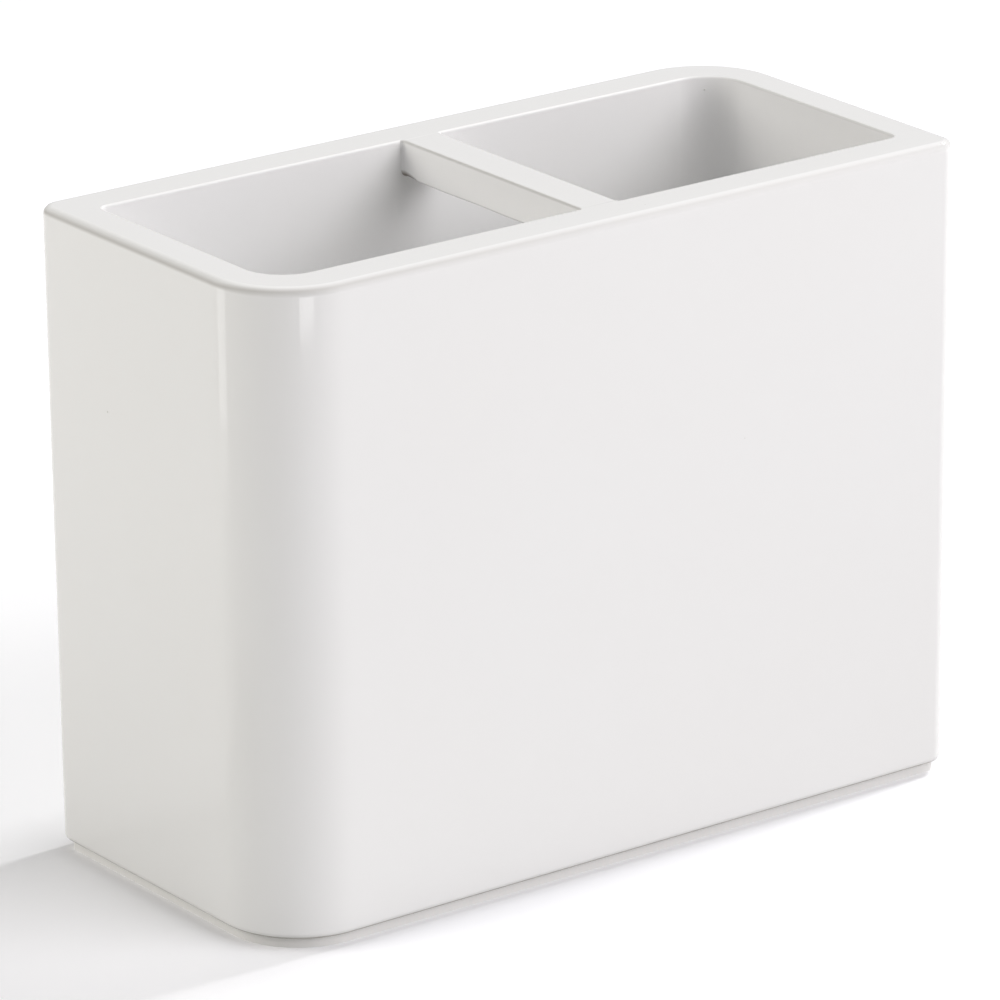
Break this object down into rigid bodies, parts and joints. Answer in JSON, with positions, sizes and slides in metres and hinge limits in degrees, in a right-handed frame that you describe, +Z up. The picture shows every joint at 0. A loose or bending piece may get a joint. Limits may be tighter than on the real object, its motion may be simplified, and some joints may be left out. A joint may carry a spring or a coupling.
{
  "type": "toothbrush holder",
  "caption": "Open-topped rectangular bathroom holder with opposite corners rounded, its mouth split by a flush divider bar to stand toothbrushes and toothpaste upright.",
  "frame": {"origin": "middle of the foot plate's underside, on the surface that the holder stands on", "axes": "+X along the length, to the right seen from the front; +Y to the back; +Z up"},
  "size_m": [0.1144, 0.053, 0.0915],
  "materials": {
    "lacquer": "sprayed high-gloss white lacquer on cast resin",
    "foot_rubber": "matt pale rubber sheet"
  },
  "bodies": {
    "root": {"wall_ring": "lacquer", "divider_bar": "lacquer", "base_panel": "lacquer", "foot_plate": "foot_rubber"}
  },
  "joints": []
}
